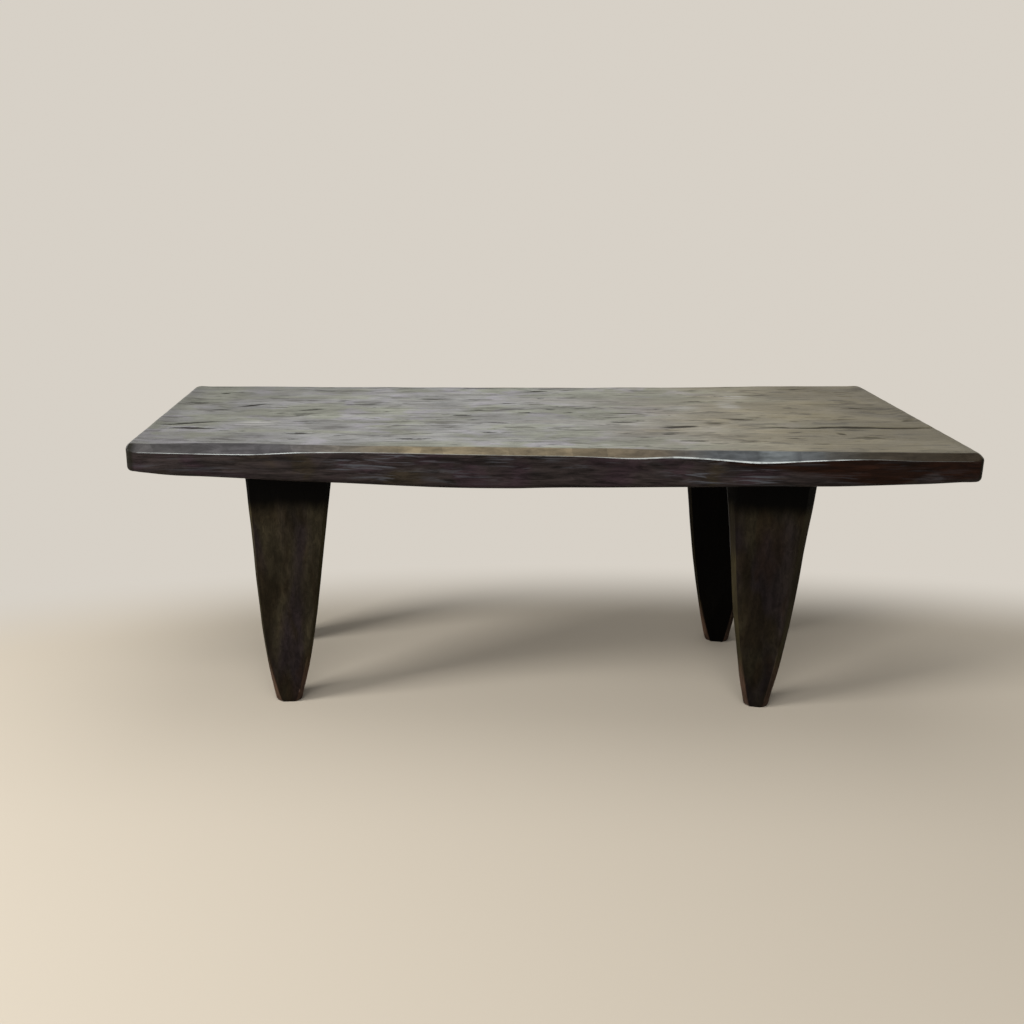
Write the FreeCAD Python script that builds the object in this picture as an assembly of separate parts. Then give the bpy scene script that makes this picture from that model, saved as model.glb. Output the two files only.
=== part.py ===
import FreeCAD, Part
import math
import os

# A low hewn daybed: one thick plank on four tapered legs. Each leg has a round tenon on its
# head, which sits in a blind mortise under the plank and is spread there by a hidden wedge.
# Sizes are in millimetres. +X runs along the plank, +Y to the back, +Z up, and the origin is
# on the floor under the middle of the plank.

# Plank
seat_height = 450.0
plank_length = 1240.0
plank_width = 528.0
plank_thickness = 63.0
underside_crown = 4.0
front_bevel_drop = 15.0
back_bevel_drop = 8.0
bevel_run_share = 1.2
lower_edge_radius = 9.0
face_lean = 1.5
left_end_skew = 17.0
right_end_skew = 6.0
front_corner_radius = 9.0
back_corner_radius = 16.0
left_end_top_radius = 5.0
right_end_top_radius = 9.0
end_bottom_radius = 8.0
station_count = 31

# Each pair is a place along the plank from its left end, as a share of the length, and a
# share of the size that the table's name gives.
front_setback_shares = (
    (0.00, 0.108), (0.08, 0.110), (0.17, 0.104), (0.28, 0.093), (0.40, 0.075),
    (0.52, 0.060), (0.63, 0.043), (0.74, 0.022), (0.84, 0.020), (0.93, 0.009), (1.00, 0.000),
)
back_setback_shares = (
    (0.00, 0.006), (0.10, 0.002), (0.20, 0.018), (0.40, 0.022), (0.55, 0.027),
    (0.72, 0.024), (0.86, 0.001), (0.94, 0.000), (1.00, 0.004),
)
thickness_shares = (
    (0.00, 0.66), (0.04, 0.77), (0.09, 0.82), (0.17, 0.885), (0.28, 0.965), (0.40, 1.00),
    (0.52, 0.98), (0.63, 0.92), (0.74, 0.855), (0.84, 0.845), (0.93, 0.775), (1.00, 0.68),
)
front_bevel_shares = (
    (0.00, 0.70), (0.08, 0.86), (0.14, 0.92), (0.21, 0.68), (0.30, 0.59), (0.45, 0.65),
    (0.54, 0.66), (0.60, 0.80), (0.65, 0.62), (0.70, 0.78), (0.745, 1.00), (0.80, 0.82),
    (0.88, 0.62), (0.93, 0.70), (1.00, 0.65),
)

# Legs
leg_head_width = 135.0
leg_head_depth = 118.0
head_cut_growth = 1.6
foot_corner_cut = 8.0
toe_height_share = 0.2
housing_depth = 3.0
housing_gap = 0.3
leg_splay = 12.0
leg_ring_count = 13
foot_ring_bunching = 1.4
foot_bevel_height = 5.0
left_leg_inset = 230.0
right_leg_inset = 268.0
front_leg_inset = 150.0
back_leg_inset = 134.0

# A leg's width at each share of its height over the foot's bevel, as a share of its width at
# the head.
leg_taper_shares = (
    (0.00, 0.305), (0.03, 0.352), (0.07, 0.40), (0.13, 0.465), (0.22, 0.55),
    (0.34, 0.64), (0.52, 0.75), (0.73, 0.85), (0.89, 0.94), (1.00, 1.00),
)
foot_sole_share = 0.265
# Each leg's own hand-made differences, in the order of the names: the head's shift along X and
# Y as shares of its width, its stoutness as a share of the common head, its share of the splay,
# and how much slimmer its foot is than the common taper makes it.
leg_names = ("front_left", "front_right", "back_left", "back_right")
shift_x_shares = (0.000, -0.004, -0.244, -0.133)
shift_y_shares = (0.067, -0.128, -0.028, -0.021)
stoutness_shares = (1.000, 1.020, 0.967, 1.010)
splay_shares = (1.22, 0.44, 1.20, 1.50)
slimness_shares = (0.00, 0.085, 0.02, 0.00)
# Each leg's turn about its own line, in degrees, and the size that each of its four corners is
# hewn off to. The cuts grow towards the head, and all come to the foot's own size at the toe.
turn_angles = (4.0, -12.0, 6.0, -10.0)
front_left_cuts = (3.0, 6.5, 8.0, 4.5)
front_right_cuts = (5.0, 8.0, 8.0, 6.0)
back_right_cuts = (11.0, 12.0, 10.0, 10.0)
back_left_cuts = (10.0, 12.0, 10.0, 10.0)

# Tenon, mortise and wedge
tenon_radius = 27.0
tenon_flare = 2.0
tenon_gap = 0.15
mortise_roof = 16.0
kerf_root = 5.0
kerf_width = 1.6
wedge_head = 8.0
wedge_side_gap = 5.0
wedge_proud = 1.0
wedge_tip_gap = 3.0

cut_overrun = 20.0


def slope(shares, k):
    """How fast a table's share changes at its pair k, level at a crest or a dip."""
    low, high = max(k - 1, 0), min(k + 1, len(shares) - 1)
    rise_before = shares[k][1] - shares[low][1]
    rise_after = shares[high][1] - shares[k][1]
    if rise_before * rise_after < 0:
        return 0.0
    return (rise_before + rise_after) / (shares[high][0] - shares[low][0])


def along(shares, place):
    """A smooth line through a table's pairs, read at one place."""
    k = 0
    while k < len(shares) - 2 and place > shares[k + 1][0]:
        k += 1
    start, end = shares[k], shares[k + 1]
    span = end[0] - start[0]
    t = (place - start[0]) / span
    return (
        (2 * t**3 - 3 * t**2 + 1) * start[1]
        + (t**3 - 2 * t**2 + t) * slope(shares, k) * span
        + (3 * t**2 - 2 * t**3) * end[1]
        + (t**3 - t**2) * slope(shares, k + 1) * span
    )


def place_of(x):
    return x / plank_length + 0.5


def front_line(x):
    return -plank_width / 2 + plank_width * along(front_setback_shares, place_of(x))


def back_line(x):
    return plank_width / 2 - plank_width * along(back_setback_shares, place_of(x))


def thickness(x):
    return plank_thickness * along(thickness_shares, place_of(x))


def plank_section(x):
    """The plank cut across: bevelled above, rounded below, and left high on top to be trimmed."""
    front, back, low = front_line(x), back_line(x), seat_height - thickness(x)
    front_drop = front_bevel_drop * along(front_bevel_shares, place_of(x))
    front_run = bevel_run_share * front_drop
    back_run = bevel_run_share * back_bevel_drop
    r = lower_edge_radius
    bend = r * math.sqrt(0.5)
    rise = front_bevel_drop / 2
    run = bevel_run_share * rise

    def point(y, z):
        return FreeCAD.Vector(x, y, z)

    front_foot = point(front + face_lean, low + r)
    back_foot = point(back - face_lean, low + r)
    front_low = point(front + face_lean + r, low)
    back_low = point(back - face_lean - r, low)
    front_mid = point(front + face_lean + r - bend, low + r - bend)
    back_mid = point(back - face_lean - r + bend, low + r - bend)
    belly = point((front + back) / 2, low - underside_crown)
    front_arris = point(front, seat_height - front_drop)
    back_arris = point(back, seat_height - back_bevel_drop)
    front_top = point(front + front_run + run, seat_height + rise)
    back_top = point(back - back_run - run, seat_height + rise)
    return Part.Wire([
        Part.LineSegment(front_top, front_arris).toShape(),
        Part.LineSegment(front_arris, front_foot).toShape(),
        Part.Arc(front_foot, front_mid, front_low).toShape(),
        Part.Arc(front_low, belly, back_low).toShape(),
        Part.Arc(back_low, back_mid, back_foot).toShape(),
        Part.LineSegment(back_foot, back_arris).toShape(),
        Part.LineSegment(back_arris, back_top).toShape(),
        Part.LineSegment(back_top, front_top).toShape(),
    ])


def round_cutter(corner, edge, inward_a, inward_b, radius):
    """Takes a square edge off to a radius. The edge runs along a vector from the corner, and
    the two inward vectors point into the wood, square to the edge."""
    def at(a, b):
        return corner + inward_a * a + inward_b * b

    bend = radius * (1 - math.sqrt(0.5))
    outline = Part.Wire([
        Part.LineSegment(at(-cut_overrun, -cut_overrun), at(radius, -cut_overrun)).toShape(),
        Part.LineSegment(at(radius, -cut_overrun), at(radius, 0)).toShape(),
        Part.Arc(at(radius, 0), at(bend, bend), at(0, radius)).toShape(),
        Part.LineSegment(at(0, radius), at(-cut_overrun, radius)).toShape(),
        Part.LineSegment(at(-cut_overrun, radius), at(-cut_overrun, -cut_overrun)).toShape(),
    ])
    return Part.Face(outline).extrude(edge)


def end_cutters(side, skew, top_radius):
    """Squares one end off along its own slant, then rounds its edges and upright corners."""
    half = plank_length / 2
    up = FreeCAD.Vector(0, 0, 1)
    front_y, back_y = front_line(side * half), back_line(side * half)
    front_x, back_x = side * half, side * (half - skew)
    run = FreeCAD.Vector(back_x - front_x, back_y - front_y, 0)
    width = run.Length
    run.normalize()
    inward = FreeCAD.Vector(-side * run.y, side * run.x, 0)
    front_corner = FreeCAD.Vector(front_x, front_y, seat_height)
    back_corner = FreeCAD.Vector(back_x, back_y, seat_height)
    low = thickness(side * half)
    beyond = front_corner - run * cut_overrun
    length = run * (width + 2 * cut_overrun)

    block = Part.Face(Part.makePolygon([
        beyond - inward * 2 * cut_overrun + up * cut_overrun,
        beyond + up * cut_overrun,
        beyond - up * (low + 2 * cut_overrun),
        beyond - inward * 2 * cut_overrun - up * (low + 2 * cut_overrun),
        beyond - inward * 2 * cut_overrun + up * cut_overrun,
    ])).extrude(length)
    depth = up * -(low + 2 * cut_overrun)
    over = up * cut_overrun
    return [
        block,
        round_cutter(beyond, length, inward, up * -1, top_radius),
        round_cutter(beyond - up * low, length, inward, up, end_bottom_radius),
        round_cutter(front_corner + over, depth, inward, run, front_corner_radius),
        round_cutter(back_corner + over, depth, inward, run * -1, back_corner_radius),
    ]


def plank_blank():
    half = plank_length / 2
    stations = [-half + plank_length * i / (station_count - 1) for i in range(station_count)]
    blank = Part.makeLoft([plank_section(x) for x in stations], True, False)
    above = Part.makeBox(
        plank_length + 2 * cut_overrun,
        plank_width + 2 * cut_overrun,
        front_bevel_drop + cut_overrun,
        FreeCAD.Vector(-half - cut_overrun, -plank_width / 2 - cut_overrun, seat_height),
    )
    blank = blank.cut(above)
    for cutter in end_cutters(-1, left_end_skew, left_end_top_radius):
        blank = blank.cut(cutter)
    for cutter in end_cutters(1, right_end_skew, right_end_top_radius):
        blank = blank.cut(cutter)
    return blank


class Leg:
    """One leg's place and sizes, worked out from the plank over it."""

    def __init__(self, name, shift_x, shift_y, stoutness, splay, slimness, turn, *corner_cuts):
        self.name = name
        self.slimness = slimness
        self.turn = math.radians(turn)
        self.corner_cuts = corner_cuts
        self.width = leg_head_width * stoutness
        self.depth = leg_head_depth * stoutness
        half_length, half_width = plank_length / 2, plank_width / 2
        left, front = name.endswith("left"), name.startswith("front")
        x = -half_length + left_leg_inset if left else half_length - right_leg_inset
        y = -half_width + front_leg_inset if front else half_width - back_leg_inset
        self.x = x + shift_x * leg_head_width
        self.y = y + shift_y * leg_head_width
        self.foot_x = self.x + (-1 if left else 1) * leg_splay * splay
        self.foot_y = self.y + (-1 if front else 1) * leg_splay * splay / 2
        edges = (self.x - self.width / 2, self.x, self.x + self.width / 2)
        self.cover = min(thickness(edge) for edge in edges) - housing_depth
        self.shoulder = seat_height - self.cover
        self.tenon_length = self.cover - mortise_roof - wedge_proud

    def ring(self, z, width_share, gap):
        """The leg's outline at one height: an oblong with its four corners hewn off, turned."""
        rise = z / self.shoulder
        width_share *= 1 - self.slimness * (1 - rise)
        half_x = self.width / 2 * width_share + gap
        half_y = self.depth / 2 * width_share + gap
        toe = max(0.0, 1 - rise / toe_height_share)
        growth = 1 + (head_cut_growth - 1) * rise**2
        front_left, front_right, back_right, back_left = (
            foot_corner_cut * toe + cut * growth * (1 - toe) for cut in self.corner_cuts
        )
        outline = [
            (-half_x + front_left, -half_y), (half_x - front_right, -half_y),
            (half_x, -half_y + front_right), (half_x, half_y - back_right),
            (half_x - back_right, half_y), (-half_x + back_left, half_y),
            (-half_x, half_y - back_left), (-half_x, -half_y + front_left),
        ]
        x = self.foot_x + (self.x - self.foot_x) * rise
        y = self.foot_y + (self.y - self.foot_y) * rise
        cos, sin = math.cos(self.turn), math.sin(self.turn)
        points = [
            FreeCAD.Vector(x + dx * cos - dy * sin, y + dx * sin + dy * cos, z)
            for dx, dy in outline
        ]
        return Part.makePolygon(points + points[:1])

    def body(self, gap=0.0):
        """The tapered shaft, its rings closer together towards the foot, over a bevelled sole."""
        rings = []
        for i in range(leg_ring_count):
            share = (i / (leg_ring_count - 1)) ** foot_ring_bunching
            z = foot_bevel_height + (self.shoulder - foot_bevel_height) * share
            rings.append(self.ring(z, along(leg_taper_shares, share), gap))
        shaft = Part.makeLoft(rings, True, False)
        sole = Part.makeLoft([self.ring(0, foot_sole_share, gap), rings[0]], True, True)
        return shaft.fuse(sole)

    def tenon(self, gap=0.0, extra_length=0.0):
        base = FreeCAD.Vector(self.x, self.y, self.shoulder)
        flare = tenon_flare * (self.tenon_length + extra_length) / self.tenon_length
        return Part.makeCone(
            tenon_radius + gap, tenon_radius + flare + gap, self.tenon_length + extra_length, base
        )

    def wedge_outline(self, y):
        """The wedge's long side, thick at the mortise's roof and blunt at its tip."""
        top = self.shoulder + self.tenon_length + wedge_proud
        tip = self.shoulder + kerf_root + wedge_tip_gap
        corners = [
            (-wedge_head / 2, top), (wedge_head / 2, top),
            (kerf_width / 2, tip), (-kerf_width / 2, tip),
        ]
        points = [FreeCAD.Vector(self.x + dx, y, z) for dx, z in corners]
        return Part.Face(Part.makePolygon(points + points[:1]))

    def wedge(self, width):
        across = FreeCAD.Vector(0, width, 0)
        return self.wedge_outline(self.y - width / 2).extrude(across)

    def kerf(self):
        width = 2 * (tenon_radius + tenon_flare + cut_overrun)
        saw_cut = Part.makeBox(
            kerf_width,
            width,
            self.tenon_length,
            FreeCAD.Vector(self.x - kerf_width / 2, self.y - width / 2, self.shoulder + kerf_root),
        )
        return saw_cut.fuse(self.wedge(width))

    def solid(self):
        return self.body().fuse(self.tenon()).cut(self.kerf()).removeSplitter()

    def pocket(self):
        """The housing and mortise that the plank needs for this leg."""
        return self.body(housing_gap).fuse(self.tenon(tenon_gap, wedge_proud))


def export(shape, node):
    shape.exportStep(os.path.join("parts", node + ".step"))
    box = shape.BoundBox
    print(node, "valid", shape.isValid(), "solids", len(shape.Solids), "volume", round(shape.Volume),
          "box", [round(v, 1) for v in (box.XMin, box.YMin, box.ZMin, box.XMax, box.YMax, box.ZMax)])


def main():
    os.makedirs("parts", exist_ok=True)
    hand = zip(
        leg_names, shift_x_shares, shift_y_shares, stoutness_shares, splay_shares,
        slimness_shares, turn_angles, front_left_cuts, front_right_cuts, back_right_cuts,
        back_left_cuts,
    )
    legs = [Leg(*row) for row in hand]
    plank = plank_blank()
    for leg in legs:
        plank = plank.cut(leg.pocket())
    export(plank, "plank")
    for leg in legs:
        export(leg.solid(), leg.name + "_leg")
        export(leg.wedge(2 * (tenon_radius - wedge_side_gap)), leg.name + "_tenon_wedge")


main()
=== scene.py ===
import math
import random
from functools import partial

import bmesh
import bpy
import numpy as np
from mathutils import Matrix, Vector


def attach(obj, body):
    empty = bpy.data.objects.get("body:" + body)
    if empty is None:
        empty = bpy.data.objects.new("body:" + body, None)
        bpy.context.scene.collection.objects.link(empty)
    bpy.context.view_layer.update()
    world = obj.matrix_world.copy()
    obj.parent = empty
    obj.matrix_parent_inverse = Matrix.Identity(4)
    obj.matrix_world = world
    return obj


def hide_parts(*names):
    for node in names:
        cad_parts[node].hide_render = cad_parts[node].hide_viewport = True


# A hewn daybed: one thick dark plank on four tapered legs, in metres, in the frame of its CAD.
# The plank is modelled in mesh code, the legs grow from one Geometry Nodes tree, and a second
# tree hews shallow tool marks into both.

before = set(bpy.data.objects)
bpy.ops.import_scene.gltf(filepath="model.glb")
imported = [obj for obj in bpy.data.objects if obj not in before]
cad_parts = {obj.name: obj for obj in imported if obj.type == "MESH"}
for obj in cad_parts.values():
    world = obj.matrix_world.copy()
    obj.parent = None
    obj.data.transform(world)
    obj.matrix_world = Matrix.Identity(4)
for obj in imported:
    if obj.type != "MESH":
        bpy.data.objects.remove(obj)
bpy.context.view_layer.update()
scene = bpy.context.scene
scene.view_settings.view_transform = "Standard"
print("frame loaded:", ", ".join(sorted(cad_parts)))


# Node helpers. A value is a number or a socket, and most helpers return a socket to plug in next.
def isSocket(value):
    return isinstance(value, bpy.types.NodeSocket)


def treeOf(*values):
    return next(value.id_data for value in values if isSocket(value))


def feed(target, value):
    if isSocket(value):
        target.id_data.links.new(value, target)
    else:
        target.default_value = value


def addNode(tree, kind, sockets=None, **settings):
    made = tree.nodes.new(kind)
    for name, value in settings.items():
        setattr(made, name, value)
    for key, value in (sockets or {}).items():
        feed(made.inputs[key], value)
    return made


def valueOf(tree, kind, sockets=None, **settings):
    return addNode(tree, kind, sockets, **settings).outputs[0]


def calc(operation, *values, clamp=False):
    return valueOf(treeOf(*values), "ShaderNodeMath", dict(enumerate(values)),
                   operation=operation, use_clamp=clamp)


def times(first, *others):
    for other in others:
        first = calc("MULTIPLY", first, other)
    return first


plus, minus, timesPlus = (partial(calc, kind) for kind in ("ADD", "SUBTRACT", "MULTIPLY_ADD"))


def vectorCalc(operation, *values):
    made = addNode(treeOf(*values), "ShaderNodeVectorMath", dict(enumerate(values)),
                   operation=operation)
    return made.outputs["Value" if operation in ("DISTANCE", "LENGTH") else "Vector"]


def combine(x, y, z):
    return valueOf(treeOf(x, y, z), "ShaderNodeCombineXYZ", {0: x, 1: y, 2: z})


def split(vector):
    return addNode(treeOf(vector), "ShaderNodeSeparateXYZ", {0: vector}).outputs


def spread(value, low, high, toLow=0.0, toHigh=1.0, smooth=True):
    return valueOf(treeOf(value), "ShaderNodeMapRange",
                   {"Value": value, 1: low, 2: high, 3: toLow, 4: toHigh},
                   interpolation_type="SMOOTHSTEP" if smooth else "LINEAR")


def spreadVector(value, low, high, toLow, toHigh):
    return addNode(treeOf(value), "ShaderNodeMapRange", {
        "Vector": value, 7: low, 8: high, 9: toLow, 10: toHigh,
    }, data_type="FLOAT_VECTOR", clamp=True).outputs["Vector"]


def mixValue(factor, first, second):
    return valueOf(treeOf(factor), "ShaderNodeMix", {0: factor, 2: first, 3: second})


def asColour(value):
    return value if isSocket(value) else (*value, 1.0)


def mixColour(factor, first, second, mode="MIX"):
    return addNode(treeOf(factor, first, second), "ShaderNodeMix",
                   data_type="RGBA", blend_type=mode,
                   sockets={0: factor, 6: asColour(first), 7: asColour(second)}).outputs[2]


def shadedBy(colour, *tones):
    for tone in tones:
        colour = mixColour(1.0, colour, tone, "MULTIPLY")
    return colour


def colourRamp(factor, stops):
    made = addNode(treeOf(factor), "ShaderNodeValToRGB", {0: factor})
    stripe = made.color_ramp.elements
    while len(stripe) < len(stops):
        stripe.new(0.5)
    for element, (place, colour) in zip(stripe, stops):
        element.position = place
        element.color = (*colour, 1.0)
    return made.outputs[0]


def greyRamp(factor, pairs):
    return colourRamp(factor, [(place, (tone, tone, tone)) for place, tone in pairs])


def stretched(coordinates, scale):
    # scale is one number for each axis, so a small one draws the pattern out along it
    return valueOf(treeOf(coordinates), "ShaderNodeMapping",
                   {"Vector": coordinates, "Scale": scale})


def stretchedNoise(coordinates, scale, detail, roughness, distortion=0.0):
    return valueOf(treeOf(coordinates), "ShaderNodeTexNoise", {
        "Vector": stretched(coordinates, scale), "Scale": 1.0, "Detail": detail,
        "Roughness": roughness, "Distortion": distortion,
    })


def facetTone(coordinates, scale, low, high):
    # each tool facet is a little paler or darker than the next
    cells = addNode(treeOf(coordinates), "ShaderNodeTexVoronoi",
                    {"Vector": stretched(coordinates, scale), "Scale": 1.0})
    return spread(cells.outputs["Color"], 0.0, 1.0, low, high, smooth=False)


def attributeValues(tree, *names):
    return [addNode(tree, "ShaderNodeAttribute", attribute_name=name).outputs["Fac"] for name in names]


def capture(geometry, kind, name, value):
    made = addNode(treeOf(geometry), "GeometryNodeCaptureAttribute", {"Geometry": geometry})
    made.capture_items.new(kind, name)
    feed(made.inputs[name], value)
    return made.outputs


def store(geometry, name, value):
    return valueOf(treeOf(geometry), "GeometryNodeStoreNamedAttribute", {
        0: geometry, "Name": name, "Value": value}, data_type="FLOAT", domain="POINT")


def newTree(name, **inputs):
    # the inputs' names are listed under their kind of socket
    tree = bpy.data.node_groups.new(name, "GeometryNodeTree")
    sockets = [("Geometry", "INPUT", "Geometry"), ("Geometry", "OUTPUT", "Geometry")]
    sockets += [(label, "INPUT", kind) for kind, labels in inputs.items() for label in labels.split()]
    for label, way, kind in sockets:
        tree.interface.new_socket(label, in_out=way, socket_type="NodeSocket" + kind)
    return tree, tree.nodes.new("NodeGroupInput").outputs


def endTree(geometry, material):
    tree = treeOf(geometry)
    realized = valueOf(tree, "GeometryNodeRealizeInstances", {0: geometry})
    painted = valueOf(tree, "GeometryNodeSetMaterial", {0: realized, "Material": material})
    addNode(tree, "NodeGroupOutput", {0: painted})


def growTree(piece, tree, values):
    modifier = piece.modifiers.new(tree.name, "NODES")
    modifier.node_group = tree
    for label, value in values.items():
        modifier[tree.interface.items_tree[label].identifier] = value


def settle(piece):
    # what the modifiers make becomes the piece's own plain mesh
    graph = bpy.context.evaluated_depsgraph_get()
    mesh = bpy.data.meshes.new_from_object(
        piece.evaluated_get(graph), preserve_all_data_layers=True, depsgraph=graph)
    piece.modifiers.clear()
    piece.data = mesh
    mesh.name = piece.name


def newPiece(name, data):
    piece = bpy.data.objects.new(name, data)
    scene.collection.objects.link(piece)
    return piece


# Camera, lamps, floor and backdrop
studio = {
    "cameraAt": (-0.154, -1.916, 0.868), "cameraTilt": 73.08, "lens": 42.19, "sensorWidth": 36.0,
    "shiftX": 0.0684, "floorReach": 60.0, "floorColour": (0.5, 0.45, 0.375),
    "bounceColour": (0.2, 0.18, 0.15), "backdropColour": (0.68, 0.635, 0.57),
    "backdropCentre": (0.1, -0.6, 0.0), "backdropShape": (0.55, 1.0, 1.0), "backdropFrom": 0.84,
    "backdropFull": 1.16, "skyColour": (1.0, 0.98, 0.95), "skyStrength": 0.29,
}
# Each lamp's name, where it hangs, where it aims, its size, power and colour.
lamps = (
    ("leftWindow", (-2.9, -1.4, 1.5), (0.0, 0.0, 0.3), 1.1, 110.0, (1.0, 0.98, 0.95)),
    ("frontLamp", (-0.5, -2.3, 2.8), (0.0, 0.0, 0.3), 1.8, 58.0, (1.0, 0.98, 0.96)),
    ("overheadLamp", (0.1, 0.3, 2.6), (0.0, 0.0, 0.4), 1.8, 17.0, (1.0, 1.0, 1.0)),
)


def emptyTree(owner):
    owner.use_nodes = True
    owner.node_tree.nodes.clear()
    return owner.node_tree


def makeCamera():
    data = bpy.data.cameras.new("camera")
    data.lens = studio["lens"]
    data.sensor_width = studio["sensorWidth"]
    data.shift_x = studio["shiftX"]
    scene.camera = newPiece("camera", data)
    scene.camera.location = studio["cameraAt"]
    scene.camera.rotation_euler = (math.radians(studio["cameraTilt"]), 0.0, 0.0)


def makeLamp(name, at, aim, size, power, colour):
    data = bpy.data.lights.new(name, "AREA")
    data.shape = "SQUARE"
    data.size = size
    data.energy = power
    data.color = colour
    lamp = newPiece(name, data)
    lamp.location = at
    lamp.rotation_euler = (Vector(aim) - Vector(at)).to_track_quat("-Z", "Y").to_euler()


def seenRays(tree):
    # the rays that find the pale backdrop: the camera's, and those of a reflection or a glass
    rays = addNode(tree, "ShaderNodeLightPath").outputs
    seen = calc("MAXIMUM", rays["Is Camera Ray"], rays["Is Glossy Ray"])
    return calc("MAXIMUM", seen, rays["Is Transmission Ray"])


def makeFloor():
    material = bpy.data.materials.new("studioFloor")
    tree = emptyTree(material)
    coordinates = addNode(tree, "ShaderNodeTexCoord").outputs["Object"]
    centred = vectorCalc("SUBTRACT", coordinates, studio["backdropCentre"])
    shaped = vectorCalc("MULTIPLY", centred, studio["backdropShape"])
    fade = spread(vectorCalc("LENGTH", shaped), studio["backdropFrom"], studio["backdropFull"])
    seen = seenRays(tree)
    # the floor looks pale, but throws little light back up under the plank
    tone = mixColour(seen, studio["bounceColour"], studio["floorColour"])
    matt = valueOf(tree, "ShaderNodeBsdfDiffuse", {"Color": tone})
    glow = valueOf(tree, "ShaderNodeEmission", {"Color": asColour(studio["backdropColour"])})
    mixed = valueOf(tree, "ShaderNodeMixShader", {0: times(fade, seen), 1: matt, 2: glow})
    addNode(tree, "ShaderNodeOutputMaterial", {0: mixed})
    mesh = bpy.data.meshes.new("floor")
    reach = studio["floorReach"]
    corners = [(x * reach, y * reach, 0.0) for x, y in ((-1, -1), (1, -1), (1, 1), (-1, 1))]
    mesh.from_pydata(corners, [], [(0, 1, 2, 3)])
    mesh.materials.append(material)
    newPiece("floor", mesh)


def makeWorld():
    world = bpy.data.worlds.new("studio")
    scene.world = world
    tree = emptyTree(world)
    sky, backdrop = (
        valueOf(tree, "ShaderNodeBackground", {0: asColour(colour), 1: strength})
        for colour, strength in ((studio["skyColour"], studio["skyStrength"]),
                                 (studio["backdropColour"], 1.0)))
    mixed = valueOf(tree, "ShaderNodeMixShader", {0: seenRays(tree), 1: sky, 2: backdrop})
    addNode(tree, "ShaderNodeOutputWorld", {0: mixed})


makeCamera()
for lamp in lamps:
    makeLamp(*lamp)
makeFloor()
makeWorld()
print("studio ready")


# Finishes
def woodMaterial(name, specular):
    material = bpy.data.materials.new(name)
    material.use_nodes = True
    shader = material.node_tree.nodes["Principled BSDF"]
    shader.inputs["Specular IOR Level"].default_value = specular
    coordinates = addNode(material.node_tree, "ShaderNodeTexCoord").outputs["Object"]
    return material, shader, coordinates


def finishWood(shader, colour, roughness, layers):
    # each layer of the bump is a height and how far it stands, in metres
    feed(shader.inputs["Base Color"], colour)
    feed(shader.inputs["Roughness"], roughness)
    below = {}
    for height, distance in layers:
        bump = addNode(shader.id_data, "ShaderNodeBump",
                       {"Height": height, "Distance": distance, "Strength": 1.0, **below})
        below = {"Normal": bump.outputs[0]}
    feed(shader.inputs["Normal"], bump.outputs[0])


plankFinish = {
    # the top's greys are paler than the dark wood: partly dust and wear, partly a painted sheen
    "grey": (0.205, 0.209, 0.209), "violetGrey": (0.21, 0.205, 0.228),
    "greenGrey": (0.2, 0.21, 0.178), "oliveBrown": (0.19, 0.17, 0.116),
    "paleWorn": (0.4, 0.4, 0.39), "checkDark": (0.01, 0.008, 0.006),
    "faceGreyed": (0.0215, 0.0165, 0.016), "faceViolet": (0.0235, 0.015, 0.018),
    "faceOlive": (0.023, 0.0175, 0.01), "faceDark": (0.01, 0.0036, 0.0018),
    "faceStreak": (0.08, 0.084, 0.095), "endDarkening": (0.0085, 0.008, 0.0042),
    # the arris colour is a painted bluish-white highlight over the rubbed edge
    "arris": (0.5, 0.54, 0.54), "topSpecular": 0.18, "sideSpecular": 0.08,
}
# Tables along the plank, from the left end at 0 to the right end at 1. The bevel is dark at both
# ends and worn to tan in the middle; after it, two polished facets carry a painted blue-grey
# highlight.
bevelTonesAndHighlights = (
    (0.0, (0.046, 0.044, 0.044)), (0.18, (0.056, 0.054, 0.058)), (0.27, (0.096, 0.086, 0.07)),
    (0.34, (0.145, 0.12, 0.078)), (0.52, (0.128, 0.104, 0.068)), (0.63, (0.075, 0.062, 0.045)),
    (0.69, (0.058, 0.063, 0.068)), (0.743, (0.062, 0.068, 0.073)), (0.749, (0.12, 0.134, 0.141)),
    (0.782, (0.112, 0.124, 0.13)), (0.787, (0.058, 0.063, 0.067)), (0.815, (0.066, 0.071, 0.073)),
    (0.822, (0.048, 0.048, 0.045)), (0.87, (0.033, 0.028, 0.021)), (1.0, (0.021, 0.015, 0.0088)),
)
# how bright the painted highlight over the bevel's rubbed lower arris is, how far that reaches, and
# how streaked the face is
arrisHighlightTones = (
    (0.0, 0.25), (0.06, 0.7), (0.1, 1.0), (0.2, 1.0), (0.25, 0.55), (0.32, 0.25), (0.5, 0.2),
    (0.56, 0.5), (0.65, 0.8), (0.7, 1.0), (0.84, 1.0), (0.87, 0.35), (0.92, 0.12), (1.0, 0.08),
)
arrisHighlightReach = (
    (0.0, 0.15), (0.3, 0.1), (0.56, 0.25), (0.66, 0.6), (0.74, 0.75), (0.78, 0.5), (0.82, 0.35),
    (0.88, 0.2), (1.0, 0.15),
)
streakTones = (
    (0.0, 0.35), (0.2, 0.25), (0.26, 0.9), (0.33, 1.0), (0.38, 0.45), (0.56, 0.5), (0.64, 1.0),
    (0.86, 1.0), (0.9, 0.4), (1.0, 0.3),
)
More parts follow.
